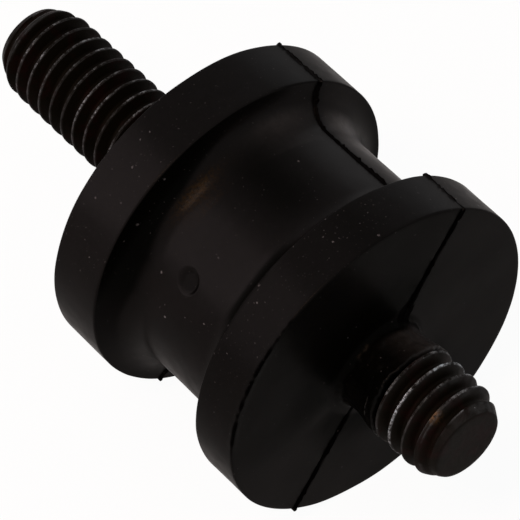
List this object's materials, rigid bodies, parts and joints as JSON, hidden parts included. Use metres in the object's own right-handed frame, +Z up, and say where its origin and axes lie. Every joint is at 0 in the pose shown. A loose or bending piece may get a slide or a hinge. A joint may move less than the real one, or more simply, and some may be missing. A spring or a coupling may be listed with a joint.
{
  "type": "rubber stud mount",
  "caption": "Waisted rubber bobbin mount with flanged ends and a threaded steel stud at each end, one long and one short, for holding a battery tray clear of vibration.",
  "frame": {"origin": "centre of the long stud's seat face, on the stud axis", "axes": "+X along the stud axis from the long stud towards the short stud, +Z up as the mount lies on its two flanges"},
  "size_m": [0.0521, 0.028, 0.028],
  "materials": {
    "rubber": "matt moulded, dusty",
    "stud_steel": "black oxide, bright on the thread crests",
    "plate_steel": "plain"
  },
  "bodies": {
    "root": {"rubber_body": "rubber", "long_stud": "stud_steel", "short_stud": "stud_steel", "long_stud_plate": "plate_steel", "short_stud_plate": "plate_steel"}
  },
  "joints": []
}
